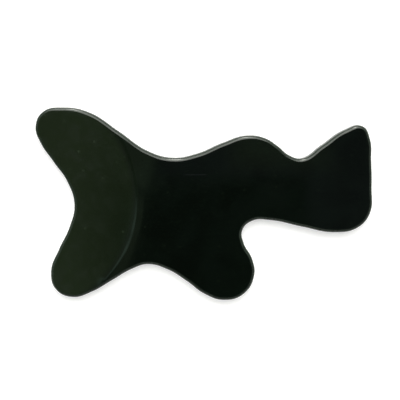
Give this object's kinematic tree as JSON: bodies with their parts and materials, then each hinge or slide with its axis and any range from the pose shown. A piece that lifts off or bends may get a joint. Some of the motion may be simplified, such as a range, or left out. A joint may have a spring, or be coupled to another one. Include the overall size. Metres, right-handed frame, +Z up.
{
  "type": "gua sha scraper",
  "caption": "Flat polished stone gua sha board with a forked tail, a rounded leg, a finger notch and a wedge-shaped head, for scraping massage",
  "frame": {"origin": "under the middle of the board's footprint, on the surface that it lies on", "axes": "+X along the length from the forked tail to the head, +Y from the belly to the back, +Z up through the thickness"},
  "size_m": [0.16, 0.0926, 0.006],
  "materials": {
    "polished_stone": "very dark green stone, mirror-polished, with faint mottling and tiny pale specks"
  },
  "bodies": {
    "root": {"scraper_board": "polished_stone"}
  },
  "joints": []
}
